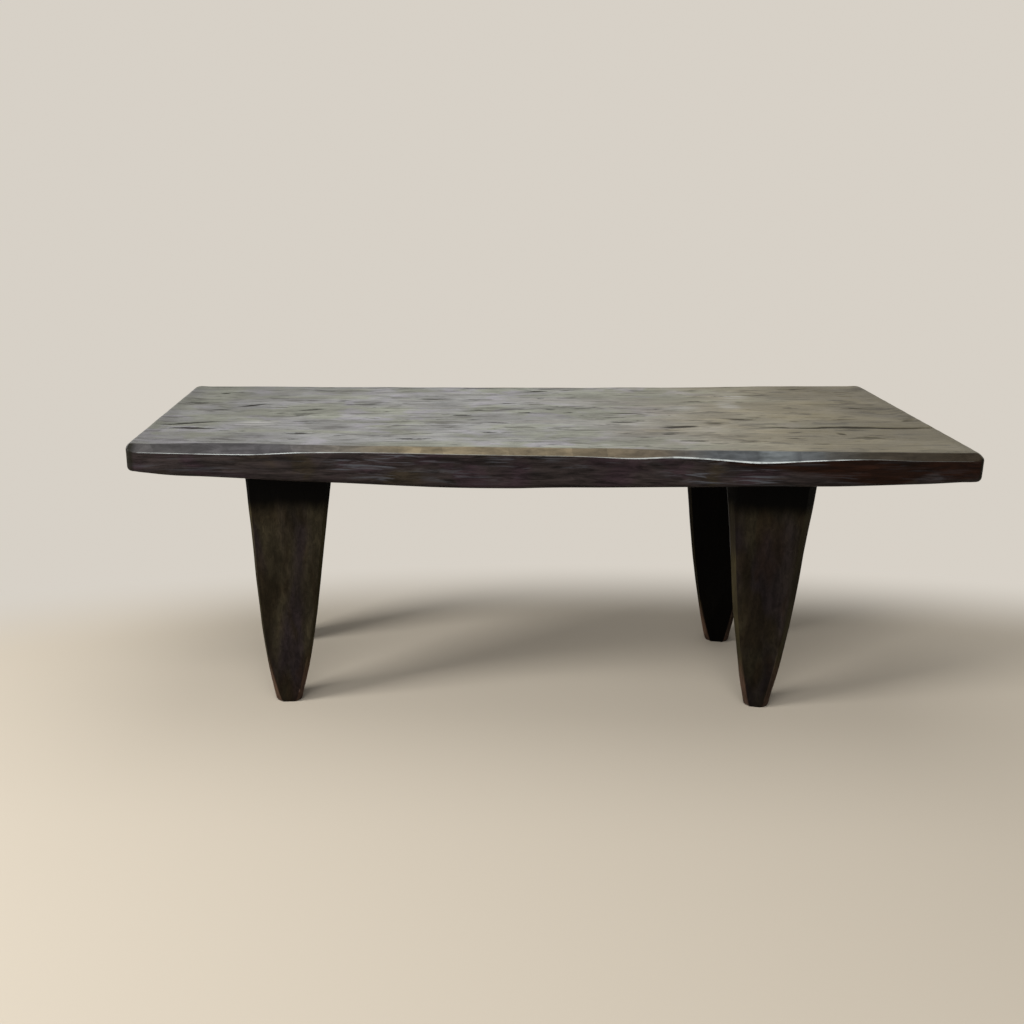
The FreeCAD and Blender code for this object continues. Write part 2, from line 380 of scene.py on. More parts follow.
# Each pattern's scale along x, y and z, its detail, its roughness and its distortion.
plankPatterns = {
    "tints": ((5.0, 12.0, 12.0), 3.0, 0.6, 0.3), "patches": ((14.0, 19.0, 19.0), 4.0, 0.6, 0.6),
    "streaks": ((24.0, 70.0, 70.0), 4.0, 0.65, 0.3), "dashes": ((16.0, 75.0, 75.0), 3.0, 0.6, 0.4),
    "ticks": ((32.0, 150.0, 150.0), 3.0, 0.6, 0.4), "fibres": ((60.0, 900.0, 900.0), 3.0, 0.6),
    "grain": ((4.0, 260.0, 260.0), 4.0, 0.65, 0.2), "figure": ((1.8, 70.0, 70.0), 3.0, 0.6, 0.8),
    "skips": ((9.0, 260.0, 260.0), 3.0, 0.6, 0.6), "where": ((6.0, 32.0, 32.0), 2.0, 0.5, 0.3),
    "mottle": ((16.0, 150.0, 150.0), 5.0, 0.7, 0.6), "clouds": ((9.0, 16.0, 16.0), 3.0, 0.55, 0.5),
    "worn": ((40.0, 40.0, 40.0), 3.0, 0.6),
}


def topColour(x, hewn, flecks, tints, patches, streaks, dashes, ticks, fibres, grain, figure):
    # greys in small drawn-out patches with dark dashes, browner towards the right end; the greys are
    # partly dust and wear and partly a painted sheen, the pale grazing reflection of the glossy top
    colours = plankFinish
    top = mixColour(spread(tints, 0.42, 0.56), colours["greenGrey"], colours["grey"])
    top = mixColour(spread(patches, 0.52, 0.66, 0.0, 0.8), top, colours["violetGrey"])
    brown = plus(x, times(minus(tints, 0.5), 0.7))
    top = mixColour(spread(brown, -0.04, 0.5), top, colours["oliveBrown"])
    shade = 1.0
    for pattern, amount in ((patches, 1.2), (streaks, 0.7), (ticks, 0.9),
                            (grain, 1.1), (figure, 0.6), (fibres, 0.5)):
        shade = timesPlus(minus(pattern, 0.5), amount, shade)
    shade = calc("MAXIMUM", shade, 0.35)
    calm = spread(x, 0.1, 0.45, 1.0, 0.6)
    # painted sheen on the hewn ridges and painted shade in their hollows, then dark dashes and ticks,
    # then painted shade towards both ends
    shade = times(
        timesPlus(minus(shade, 1.0), calm, 1.0),
        spread(hewn, 0.2, 0.9, 0.85, 1.12),
        spread(dashes, 0.55, 0.64, 1.0, 0.48),
        spread(ticks, 0.58, 0.68, 1.0, 0.66),
        spread(x, 0.3, 0.62, 1.0, 0.62),
        spread(x, -0.6, -0.25, 0.66, 0.98),
    )
    top = shadedBy(top, shade)
    return mixColour(times(flecks, spread(grain, 0.38, 0.62)), top, colours["paleWorn"])


def faceColour(coordinates, rightward, greyed, endGrain, skips, where, mottle, clouds):
    # a dark stain, greyed where it has worn, with thin pale streaks along the grain
    colours = plankFinish
    side = mixColour(spread(clouds, 0.5, 0.62), colours["faceGreyed"], colours["faceViolet"])
    side = mixColour(spread(clouds, 0.46, 0.34, 0.0, 0.7), side, colours["faceOlive"])
    side = shadedBy(mixColour(greyed, colours["faceDark"], side),
                    spread(mottle, 0.3, 0.7, 0.35, 1.75),
                    facetTone(coordinates, (11.0, 38.0, 38.0), 0.72, 1.28))
    streaked = times(
        spread(skips, 0.52, 0.66), spread(where, 0.4, 0.56),
        greyRamp(rightward, streakTones), spread(greyed, 0.0, 1.0, 0.25, 0.8),
    )
    side = mixColour(streaked, side, colours["faceStreak"])
    # growth rings on both ends, about a pith near the front
    rings = addNode(treeOf(coordinates), "ShaderNodeTexWave", {
        "Vector": vectorCalc("SUBTRACT", coordinates, (0.0, -0.09, 0.33)), "Scale": 42.0,
        "Distortion": 3.0, "Detail": 3.0, "Detail Scale": 0.6, "Detail Roughness": 0.6,
    }, wave_type="RINGS", rings_direction="X").outputs[1]
    return mixColour(endGrain, side, shadedBy(side, spread(rings, 0.2, 0.8, 0.55, 1.45)))


def makePlankFinish(name, specular):
    material, shader, coordinates = woodMaterial(name, specular)
    x = split(coordinates)["X"]
    rightward = spread(x, -0.62, 0.62, smooth=False)
    hewn, checks, flecks, bevel, face, arris, greyed, endDarkened, endGrain = attributeValues(
        shader.id_data, "hewn", "checks", "flecks", "bevel", "face", "arris", "greyed", "endDarkened",
        "endGrain")
    (tints, patches, streaks, dashes, ticks, fibres, grain, figure,
     skips, where, mottle, clouds, worn) = (
        stretchedNoise(coordinates, *values) for values in plankPatterns.values())

    top = topColour(x, hewn, flecks, tints, patches, streaks, dashes, ticks, fibres, grain, figure)
    side = faceColour(coordinates, rightward, greyed, endGrain, skips, where, mottle, clouds)
    # the bevel's tones, with a painted blue-grey highlight on two facets
    slope = shadedBy(colourRamp(rightward, bevelTonesAndHighlights), spread(streaks, 0.3, 0.7, 0.65, 1.35),
                     facetTone(coordinates, (22.0, 8.0, 8.0), 0.8, 1.2))
    colour = mixColour(bevel, top, slope)
    colour = mixColour(face, colour, side)
    colour = mixColour(endDarkened, colour, plankFinish["endDarkening"])

    # the bevel's lower arris: rubbed paler, with a painted bluish-white highlight
    fade = timesPlus(greyRamp(rightward, arrisHighlightReach), -0.4, 0.85)
    arrisHighlightAmount = times(spread(arris, fade, plus(fade, 0.15)), spread(worn, 0.36, 0.56, 0.45, 1.0),
                   greyRamp(rightward, arrisHighlightTones))
    colour = mixColour(arrisHighlightAmount, colour, plankFinish["arris"])

    # fibres stand over the edges of a check, and a check is darkened to near black, less where it is
    # shallow
    torn = spread(grain, 0.3, 0.7, 0.5, 1.5, smooth=False)
    darkened = times(spread(times(checks, torn), 0.28, 0.68), spread(checks, 0.3, 0.9, 0.6, 1.0),
                   spread(grain, 0.42, 0.6, 0.85, 1.0))
    colour = mixColour(darkened, colour, plankFinish["checkDark"])
    roughness = calc("MULTIPLY_ADD", checks, 0.35, spread(patches, 0.3, 0.7, 0.36, 0.5), clamp=True)
    finishWood(shader, colour, roughness,
               ((mottle, 0.0006), (streaks, 0.0005), (grain, 0.0004), (fibres, 0.0002)))
    return material


legFinish = {
    "dark": (0.015, 0.0108, 0.006), "violet": (0.0185, 0.0138, 0.0142),
    "olive": (0.0255, 0.0208, 0.0125), "russet": (0.019, 0.0105, 0.0055),
    "redBrown": (0.13, 0.075, 0.05), "worn": (0.04, 0.033, 0.016), "specular": 0.04,
}
legPatterns = {
    "streaks": ((60.0, 60.0, 6.0), 4.0, 0.6, 0.3), "bands": ((18.0, 18.0, 4.5), 3.0, 0.5, 0.3),
    "clouds": ((26.0, 26.0, 8.0), 2.0, 0.5, 0.4), "mottle": ((130.0, 130.0, 55.0), 5.0, 0.75, 0.8),
    "fibres": ((700.0, 700.0, 40.0), 3.0, 0.6),
}


def makeLegFinish():
    colours = legFinish
    material, shader, coordinates = woodMaterial("hewnLegWood", colours["specular"])
    z = split(coordinates)["Z"]
    hewn, corner, tone = attributeValues(shader.id_data, "hewn", "corner", "tone")
    streaks, bands, clouds, mottle, fibres = (
        stretchedNoise(coordinates, *values) for values in legPatterns.values())
    colour = mixColour(spread(bands, 0.38, 0.6), colours["violet"], colours["olive"])
    colour = mixColour(spread(clouds, 0.48, 0.64, 0.0, 0.8), colour, colours["dark"])
    colour = mixColour(spread(clouds, 0.46, 0.34, 0.0, 0.45), colour, colours["russet"])
    colour = shadedBy(colour, spread(streaks, 0.3, 0.7, 0.75, 1.25),
                      spread(mottle, 0.3, 0.7, 0.65, 1.38))
    # the corner facets are rubbed paler, and reddish at the toe
    facet = mixColour(spread(z, 0.1, 0.04), colours["worn"], colours["redBrown"])
    colour = mixColour(times(corner, spread(streaks, 0.35, 0.65, 0.35, 0.9)), colour, facet)
    # painted shadow: the plank's shadow painted across each leg's head, dark above a wavy line
    paintedShadowHeight = timesPlus(minus(bands, 0.5), 0.04, z)
    shade = times(
        # painted shade and sheen: darker in the hewn hollows, lighter on their ridges
        timesPlus(spread(hewn, 0.2, 0.9), 0.4, 0.75), timesPlus(fibres, 0.5, 0.75),
        # painted shade: each leg's tone darkens it, the back legs most, but not its corner facets,
        # which are painted as if lit from the side
        calc("MAXIMUM", tone, times(corner, 0.8)), spread(paintedShadowHeight, 0.328, 0.358, 1.0, 0.03),
    )
    finishWood(shader, shadedBy(colour, shade), spread(bands, 0.3, 0.7, 0.38, 0.56),
               ((mottle, 0.0006), (streaks, 0.0007), (fibres, 0.0003)))
    return material


wedgeFinish = {
    "pale": (0.36, 0.25, 0.14), "dark": (0.24, 0.15, 0.08), "roughness": 0.7, "specular": 0.5,
}


def makeWedgeFinish():
    material, shader, coordinates = woodMaterial("splitWedgeWood", wedgeFinish["specular"])
    fibres = stretchedNoise(coordinates, (500.0, 500.0, 40.0), 4.0, 0.6)
    colour = mixColour(spread(fibres, 0.3, 0.7), wedgeFinish["dark"], wedgeFinish["pale"])
    finishWood(shader, colour, wedgeFinish["roughness"], ((fibres, 0.0003),))
    return material


plankWood = makePlankFinish("hewnPlankWood", plankFinish["topSpecular"])
plankSideWood = makePlankFinish("hewnPlankSideWood", plankFinish["sideSpecular"])
legWood = makeLegFinish()
wedgeWood = makeWedgeFinish()
print("finishes ready")


# Tool marks: overlapping shallow scoops cut inwards, and a slower ripple
def makeHewingTree():
    tree, start = newTree("hewingMarks", Vector="markSize rippleSize", String="weightName",
                          Float="markDepth rippleDepth seed", Material="material")
    place = valueOf(tree, "GeometryNodeInputPosition")
    normal = valueOf(tree, "GeometryNodeInputNormal")
    weight, before = (
        valueOf(tree, "GeometryNodeInputNamedAttribute", {"Name": name})
        for name in (start["weightName"], "hewn"))

    def seededNoise(vector, scale, detail):
        return addNode(tree, "ShaderNodeTexNoise", noise_dimensions="4D", sockets={
            "Vector": vector, "W": start["seed"], "Scale": scale, "Detail": detail}).outputs

    cell = vectorCalc("DIVIDE", place, start["markSize"])
    warp = seededNoise(cell, 0.8, 1.0)["Color"]
    scoops = addNode(tree, "ShaderNodeTexVoronoi", {
        "Vector": vectorCalc("MULTIPLY_ADD", warp, (0.9, 0.9, 0.9), cell),
        "W": start["seed"], "Scale": 1.0, "Smoothness": 0.35,
    }, voronoi_dimensions="4D", feature="SMOOTH_F1").outputs["Distance"]
    ridge = spread(times(scoops, scoops), 0.02, 0.62, smooth=False)
    slow = seededNoise(vectorCalc("DIVIDE", place, start["rippleSize"]), 1.0, 2.0)[0]
    cut = times(minus(ridge, 1.0), start["markDepth"])
    cut = timesPlus(minus(spread(slow, 0.25, 0.75), 1.0), start["rippleDepth"], cut)
    cut = times(cut, weight)
    inward = vectorCalc("MULTIPLY", normal, combine(cut, cut, cut))
    moved = valueOf(tree, "GeometryNodeSetPosition", {0: start["Geometry"], "Offset": inward})
    hewn = store(moved, "hewn", timesPlus(ridge, weight, before))
    endTree(hewn, start["material"])
    return tree


hewingTree = makeHewingTree()


# Plank
plank = {
    "length": 1.24, "width": 0.528, "thickness": 0.063, "seatHeight": 0.45,
    "undersideCrown": 0.004, "frontDrop": 0.015, "backDrop": 0.008, "bevelRun": 1.2,
    "lowerRound": 0.009, "endLowerRound": 0.008, "faceLean": 0.0015,
    "leftSkew": 0.017, "rightSkew": 0.006, "leftTopRound": 0.005, "rightTopRound": 0.009,
    "frontCorner": 0.009, "backCorner": 0.016, "leastCorner": 0.0004, "cornerBlend": 0.016,
    "arrisRound": 0.002, "creaseRound": 0.0012, "innerMargin": 0.003,
    "columns": 266, "rowsAcross": 114, "roundRows": 6, "faceRows": 14, "arrisRows": 5,
    "endRoundRows": 9,
    "linesNearEnds": (0.0, 0.0018, 0.0038, 0.0061, 0.009, 0.0127),
    "topMarks": {
        "markSize": (0.105, 0.05, 0.05), "markDepth": 0.0016,
        "rippleSize": (0.3, 0.12, 0.12), "rippleDepth": 0.0016,
        "seed": 3.0, "weightName": "topWeight",
    },
    "faceMarks": {
        "markSize": (0.16, 0.02, 0.02), "markDepth": 0.0012,
        "rippleSize": (0.22, 0.05, 0.05), "rippleDepth": 0.0012,
        "seed": 8.0, "weightName": "faceWeight",
    },
    "calmEnds": 0.035, "faceCalm": 0.25, "faceCalmFrom": 0.01, "faceCalmRun": 0.02,
    "arrisHighlightFade": 0.02, "endArrisHighlight": 0.4, "greyedFade": 0.22, "undersideGreyed": 0.8,
    "creaseAt": 0.0045, "creaseWidth": 0.0015, "endDarkWidth": 0.006,
}
# points higher than this are on the top
topLevel = plank["seatHeight"] - 0.00001

# Pairs of a place along the plank, from 0 at its left end to 1, and a share of the table's size.
frontSetback = (
    (0.0, 0.108), (0.08, 0.11), (0.17, 0.104), (0.28, 0.093), (0.4, 0.075),
    (0.52, 0.06), (0.63, 0.043), (0.74, 0.022), (0.84, 0.02), (0.93, 0.009), (1.0, 0.0),
)
backSetback = (
    (0.0, 0.006), (0.1, 0.002), (0.2, 0.018), (0.4, 0.022), (0.55, 0.027),
    (0.72, 0.024), (0.86, 0.001), (0.94, 0.0), (1.0, 0.004),
)
thicknessShares = (
    (0.0, 0.66), (0.04, 0.77), (0.09, 0.82), (0.17, 0.885), (0.28, 0.965), (0.4, 1.0),
    (0.52, 0.98), (0.63, 0.92), (0.74, 0.855), (0.84, 0.845), (0.93, 0.775), (1.0, 0.68),
)
frontBevelShares = (
    (0.0, 0.7), (0.08, 0.86), (0.14, 0.92), (0.21, 0.68), (0.3, 0.59), (0.45, 0.65),
    (0.54, 0.66), (0.6, 0.8), (0.65, 0.62), (0.7, 0.78), (0.745, 1.0), (0.8, 0.82),
    (0.88, 0.62), (0.93, 0.7), (1.0, 0.65),
)

# How far up from its foot the front face has worn grey, as a share of its height.
greyedTo = (
    (0.0, 1.3), (0.6, 1.3), (0.67, 1.0), (0.76, 0.72), (0.81, 0.48), (0.86, 0.12), (0.9, -0.1),
    (0.915, 0.15), (0.945, 0.5), (0.96, 0.2), (1.0, 0.25),
)


def smoothStep(value):
    value = np.clip(value, 0.0, 1.0)
    return value * value * (3 - 2 * value)


def between(first, last, share):
    return first + (last - first) * share


def shareAt(pairs, place):
    # a smooth line through a table's pairs, level at each crest
    at, share = np.array(pairs).T
    count = len(at)
    low = np.maximum(np.arange(count) - 1, 0)
    high = np.minimum(np.arange(count) + 1, count - 1)
    before, after = share - share[low], share[high] - share
    slope = np.where(before * after < 0, 0.0, (before + after) / (at[high] - at[low]))
    k = np.clip(np.searchsorted(at, place, side="right") - 1, 0, count - 2)
    span = at[k + 1] - at[k]
    t = (place - at[k]) / span
    bend = t * (1 - t) * ((1 - t) * slope[k] - t * slope[k + 1]) * span
    return between(share[k], share[k + 1], smoothStep(t)) + bend


def placeOf(x):
    return np.clip(x / plank["length"] + 0.5, 0.0, 1.0)


def underside(x, t):
    # t runs from 0 at the front to 1 at the back
    depth = plank["thickness"] * shareAt(thicknessShares, placeOf(x))
    return plank["seatHeight"] - depth - plank["undersideCrown"] * 4 * t * (1 - t)


def gradedLines(count, length):
    # places from 0 to 1, closer together beside both ends
    near = np.array(plank["linesNearEnds"]) / length
    middle = np.linspace(near[-1], 1 - near[-1], count - 2 * (len(near) - 1) + 1)
    return np.concatenate([near[:-1], middle, 1 - near[-2::-1]])


def steps(first, last, shares):
    return [tuple(between(a, b, share) for a, b in zip(first, last)) for share in shares]


def lowerRows(x, low, radius, lean, faceTop):
    # the rows that turn from underneath up into a face and climb it, as insets and heights
    rows = [(lean + radius * (1 - math.sin(turn)) + 0 * x, low + radius * (1 - math.cos(turn)))
            for turn in np.linspace(0.0, math.pi / 2, plank["roundRows"])]
    shares = np.linspace(0.0, 1.0, plank["faceRows"] + 1)[1:-1]
    return rows + steps((lean, low + radius), faceTop, shares)


def longEdgeRows(x, drop):
    # the rows of a front or back edge from underneath up to the top
    low, top, run = underside(x, 0.0), plank["seatHeight"], plank["bevelRun"] * drop
    lean, r, soft = plank["faceLean"], plank["lowerRound"], plank["arrisRound"]
    down = low + r + drop - top
    faceX, faceZ = np.array([lean + 0 * x, down]) / np.hypot(lean, down)
    bevelX, bevelZ = np.array([run, drop]) / np.hypot(run, drop)

    def arrisPoint(s):
        below, above = (soft - s) ** 2 / (4 * soft), (soft + s) ** 2 / (4 * soft)
        return faceX * below + bevelX * above, top - drop + faceZ * below + bevelZ * above

    rows = lowerRows(x, low, r, lean, arrisPoint(-soft))
    rows += [arrisPoint(s) for s in np.linspace(-soft, soft, plank["arrisRows"])]
    crease = plank["creaseRound"]
    beforeCrease = (run - bevelX * crease, top - bevelZ * crease)
    rows += steps(arrisPoint(soft), beforeCrease, (0.33, 0.67, 1.0))
    rows.append((run + crease / 4, top - bevelZ * crease / 4))
    rows.append((run + plank["innerMargin"], top + 0 * x))
    return np.array(rows)


def shortEdgeRows(x, t, radius):
    # the same rows for an end, whose upper edge is one quarter round
    top, none = plank["seatHeight"], 0 * x
    rows = lowerRows(x, underside(x, t), plank["endLowerRound"], none, (none, top - radius))
    for turn in np.linspace(0.0, math.pi / 2, plank["endRoundRows"]):
        inset, drop = radius * (1 - math.cos(turn)), radius * (1 - math.sin(turn))
        rows.append((inset + none, top - drop + none))
    rows.append((radius + plank["innerMargin"] + none, top + none))
    return np.array(rows)


def onEnds():
    # which points of a rim are on its ends, counted round from the front left corner
    along, across = plank["columns"], plank["rowsAcross"]
    return np.repeat([False, True, False, True], [along, across, along, across])


def plankSkin():
    # every row of the rim as points [row, around, xyz], and the top's lines both ways
    along, across, half = plank["columns"], plank["rowsAcross"], plank["length"] / 2
    a, t = gradedLines(along, plank["length"]), gradedLines(across, plank["width"])
    loopA = np.concatenate([a[:-1], np.ones(across), a[:0:-1], np.zeros(across)])
    loopT = np.concatenate([np.zeros(along), t[:-1], np.ones(along), t[:0:-1]])
    onLong, atFront, atLeft = ~onEnds(), loopT < 0.5, loopA < 0.5
    leftX = -half + plank["leftSkew"] * loopT
    rightX = half - plank["rightSkew"] * loopT
    x = between(leftX, rightX, loopA)
    front = longEdgeRows(x, plank["frontDrop"] * shareAt(frontBevelShares, placeOf(x)))
    back = longEdgeRows(x, plank["backDrop"] + 0 * x)
    left = shortEdgeRows(leftX, loopT, plank["leftTopRound"])
    right = shortEdgeRows(rightX, loopT, plank["rightTopRound"])
    longRows, endRows = np.where(atFront, front, back), np.where(atLeft, left, right)

    rimX = between(leftX + left[:, 0], rightX - right[:, 0], loopA)
    frontLine = plank["width"] * (shareAt(frontSetback, placeOf(rimX)) - 0.5)
    backLine = plank["width"] * (0.5 - shareAt(backSetback, placeOf(rimX)))
    rimY = between(frontLine + front[:, 0], backLine - back[:, 0], loopT)
    run = np.where(onLong, np.minimum(loopA, 1 - loopA) * plank["length"],
                   np.minimum(loopT, 1 - loopT) * plank["width"])
    share = 0.5 * (1 - smoothStep(run / plank["cornerBlend"]))
    rimZ = between(longRows[:, 1], endRows[:, 1], np.where(onLong, share, 1 - share))

    # the four upright corners, rounded about the bisector and sharper on the inner rows
    corner = np.where(atFront, plank["frontCorner"], plank["backCorner"])
    radius = np.maximum(corner - 0.5 * (longRows[:, 0] + endRows[:, 0]), plank["leastCorner"])
    angle = math.pi / 4 * (1 - np.minimum(run / radius, 1.0))
    shift = np.where(run < radius, radius * (1 - np.sin(angle)) - run, 0.0)
    inward = np.where(run < radius, radius * (1 - np.cos(angle)), 0.0)
    rimX = rimX + np.where(atLeft, 1.0, -1.0) * np.where(onLong, shift, inward)
    rimY = rimY + np.where(atFront, 1.0, -1.0) * np.where(onLong, inward, shift)
    return np.stack([rimX, rimY, rimZ], axis=2), a, t


def capPoints(rim, edge, a, t):
    # the points of a cap, its inside spread between the rim's own points
    grid = rim[np.maximum(edge, 0)]
    u, v = a[1:-1, None, None], t[None, 1:-1, None]
    ruled = between(grid[1:-1, :1], grid[1:-1, -1:], v) + between(grid[:1, 1:-1], grid[-1:, 1:-1], u)
    corners = between(between(grid[0, 0], grid[-1, 0], u), between(grid[0, -1], grid[-1, -1], u), v)
    grid[1:-1, 1:-1] = ruled - corners
    return grid


# Deep checks and torn gouges on the top, measured from the photograph: where each starts and
# ends, then its width and its depth, in millimetres.
topChecks = (
    (340, -82, 668, -89, 20, 5.0),
    (-607, -64, -505, -42, 16, 2.8), (-588, -88, -495, -90, 16, 3.0),
    (-588, 111, -552, 110, 13, 2.2), (-548, 187, -528, 187, 13, 1.6), (-546, 52, -503, 50, 12, 2.0),
    (-501, 80, -446, 99, 15, 1.8), (-400, 210, -334, 209, 13, 1.8), (-398, 43, -345, 58, 11, 2.0),
    (-396, 6, -368, 7, 11, 1.6), (-388, -130, -352, -126, 10, 2.0), (-388, -158, -364, -157, 9, 1.6),
    (-203, 141, -126, 134, 14, 2.0), (-141, 6, -100, 8, 12, 1.8), (-107, 47, -77, 51, 11, 1.6),
    (-223, -162, -170, -161, 9, 1.8), (-94, -48, -41, -56, 11, 1.8), (-96, -118, -62, -117, 9, 1.6),
    (-470, 150, -420, 143, 9, 1.2), (-430, 18, -405, 24, 8, 1.2), (-320, 98, -262, 95, 9, 1.2),
    (-290, -12, -248, -20, 9, 1.3), (-258, 60, -222, 66, 8, 1.1), (-330, -142, -296, -138, 8, 1.1),
    (-180, -100, -132, -96, 9, 1.2), (-60, 95, -20, 100, 9, 1.2), (20, -95, 60, -99, 8, 1.2),
    (60, 60, 104, 64, 8, 1.1), (-12, 205, 42, 205, 12, 1.8), (111, -46, 161, -44, 12, 2.0),
    (186, -78, 256, -70, 20, 3.0),
    (181, -124, 210, -123, 9, 1.6), (304, -27, 356, -25, 11, 1.8), (213, -177, 248, -176, 9, 1.8),
    (280, -181, 326, -180, 9, 1.8), (448, -120, 462, -138, 16, 1.2), (578, -48, 604, -24, 18, 0.9),
)
topHoles = ((18, 142, 7, 5.0), (220, 11, 6, 2.5))
paleFlecks = (
    (-447, -58, 34, 20), (-393, -19, 16, 12), (-296, -66, 16, 12), (355, 160, 26, 30),
    (330, 76, 20, 26), (246, 60, 30, 16),
)
looseChecks = {
    "count": 120, "seed": 11, "length": (20, 70), "width": (4, 10), "depth": (0.5, 1.7), "bow": 0.35,
    "bowShift": 5.0,
}
# How a check is cut. Each wave of its line is a share of its width, a length and a shift.
checkCut = {
    "sideMargin": 0.0025, "endMargin": 0.003, "lensPower": 0.6, "steepShare": 0.55,
    "leastLens": 0.05, "darkDepth": 0.0024, "leastDark": 0.15, "darkSpread": 1.7, "spotEdge": 1.4,
    "waves": ((0.1, 0.029, 2.3), (0.04, 0.0103, 4.1)),
}


def allChecks():
    # the measured checks and a sprinkling of small ones, in metres
    dice = random.Random(looseChecks["seed"])
    lines = list(topChecks)
    for _ in range(looseChecks["count"]):
        x, y = dice.uniform(-560, 560), dice.uniform(-190, 235)
        length = dice.uniform(*looseChecks["length"]) * dice.uniform(0.6, 1.3)
        lean = dice.uniform(-0.12, 0.12) * length
        width, depth = dice.uniform(*looseChecks["width"]), dice.uniform(*looseChecks["depth"])
        lines.append((x, y, x + length, y + lean, width, depth))
    return [tuple(v / 1000 for v in line) for line in lines]


def quads(grid):
    corners = grid[:-1, :-1], grid[1:, :-1], grid[1:, 1:], grid[:-1, 1:]
    return np.stack(corners, axis=2).reshape(-1, 4).tolist()


def makePlankMesh():
    rims, a, t = plankSkin()
    along, across = len(a) - 1, len(t) - 1
    rowCount, around = rims.shape[:2]
    # which of the rim's points lies at each place of a cap's grid, and -1 inside it
    edge = np.full((along + 1, across + 1), -1)
    edge[:along, 0] = np.arange(along)
    edge[along, :across] = np.arange(across) + along
    edge[along:0:-1, across] = np.arange(along) + along + across
    edge[0, across:0:-1] = np.arange(across) + 2 * along + across
    inside = edge < 0
    top, bottom = capPoints(rims[-1], edge, a, t), capPoints(rims[0], edge, a, t)
    bottom[1:-1, 1:-1, 2] = underside(bottom[1:-1, 1:-1, 0], t[None, 1:-1])

    # the underside has half as many lines, and its outer faces take in the rim's odd points
    sparse = np.zeros_like(inside)
    sparse[::2, ::2] = inside[::2, ::2]
    topIndex, bottomIndex = edge + (rowCount - 1) * around, edge.copy()
    topIndex[inside] = rowCount * around + np.arange(inside.sum())
    bottomIndex[sparse] = rowCount * around + inside.sum() + np.arange(sparse.sum())
    points = np.concatenate([rims.reshape(-1, 3), top[inside], bottom[sparse]])
    rows = np.arange(rowCount * around).reshape(rowCount, around)
    faces = quads(np.concatenate([rows, rows[:, :1]], axis=1).T) + quads(topIndex)
    for i in range(0, along, 2):
        for j in range(0, across, 2):
            ring = ((i, j), (i, j + 1), (i, j + 2), (i + 1, j + 2),
                    (i + 2, j + 2), (i + 2, j + 1), (i + 2, j), (i + 1, j))
            faces.append([int(bottomIndex[p]) for p in ring if bottomIndex[p] >= 0])
    mesh = bpy.data.meshes.new("plank")
    mesh.from_pydata(points, [], faces)
    for name, values in plankZones(rims, points).items():
        writeValues(mesh, name, values)
    return mesh


def fromEnds(points):
    # how far each point lies from the nearer end of the plank
    x, half = points[:, 0], plank["length"] / 2
    share = np.clip(points[:, 1] / plank["width"] + 0.5, 0.0, 1.0)
    return np.minimum(x + half - plank["leftSkew"] * share, half - plank["rightSkew"] * share - x)


def plankZones(rims, points):
    # where the top, the bevels, the faces and the worn arrises lie, for the tools and the finish; the
    # arrises also carry a painted highlight
    rowCount, around = rims.shape[:2]
    rim, ends = rowCount * around, onEnds()
    # rows counted from the first of the rounded arris between the face and the bevel
    step = np.arange(rowCount) - (plank["roundRows"] + plank["faceRows"] - 1)

    def overRim(rows, endRows, elsewhere=0.0):
        values = np.full(len(points), elsewhere)
        values[:rim] = np.where(ends, endRows[:, None], rows[:, None]).ravel()
        return values

    endFace = 1 - smoothStep((step - 1) / 5)
    rubbedHighlightRows = np.array([{1: 0.5, 2: 1.0, 3: 0.9, 4: 0.7, 5: 0.25}.get(k, 0.0) for k in step])
    topRows = np.where(step < 8, 0.0, 0.6)
    faceRows = np.ones(rowCount)
    faceRows[-2:] = 0.3, 0.0
    face = overRim(np.select([step < 2, step == 2], [1.0, 0.5]), endFace)
    bevel = overRim(np.where((step > 1) & (step < 9), 1.0, 0.0), 0 * step)
    onTop = points[:, 2] > topLevel
    face[rim:] = ~onTop[rim:]

    away, place = fromEnds(points), placeOf(points[:, 0])
    low = underside(points[:, 0], 0.0)
    arrisLevel = plank["seatHeight"] - plank["frontDrop"] * shareAt(frontBevelShares, place)
    rise = (points[:, 2] - low) / (arrisLevel - low)
    greyed = smoothStep((shareAt(greyedTo, place) - rise) / plank["greyedFade"] + 0.5)
    greyed[rim:] = plank["undersideGreyed"]
    # darker down the left end's corner, and in a crease beside the right end's
    creased = smoothStep(1.6 - abs(away - plank["creaseAt"]) / plank["creaseWidth"])
    cornered = 0.8 * smoothStep(2.0 - away / plank["endDarkWidth"])
    endDarkened = np.where(points[:, 0] > 0, creased, cornered) * np.maximum(face, bevel)
    calmer = smoothStep((away - plank["faceCalmFrom"]) / plank["faceCalmRun"])
    return {
        "face": face, "bevel": bevel, "greyed": greyed, "endDarkened": endDarkened,
        "arris": overRim(rubbedHighlightRows, plank["endArrisHighlight"] * rubbedHighlightRows) * smoothStep(away / plank["arrisHighlightFade"]),
        "endGrain": overRim(0 * endFace, endFace),
        "hewn": np.zeros(len(points)), "topFace": np.where(onTop, 1.0, 0.0),
        "topWeight": overRim(topRows, topRows, 1.0) * smoothStep(away / plank["calmEnds"]),
        "faceWeight": overRim(faceRows, faceRows) * between(plank["faceCalm"], 1.0, calmer),
    }


def distanceTo(points, line):
    # how far along a check each point lies, from 0 to 1, and how far behind its line
    start, run = np.array(line[:2]), np.array((line[2] - line[0], line[3] - line[1]))
    length = float(np.hypot(*run)) + 1e-9
    offset = points - start
    share = offset @ run / length**2
    behind = (run[0] * offset[:, 1] - run[1] * offset[:, 0]) / length
    return share, behind, length


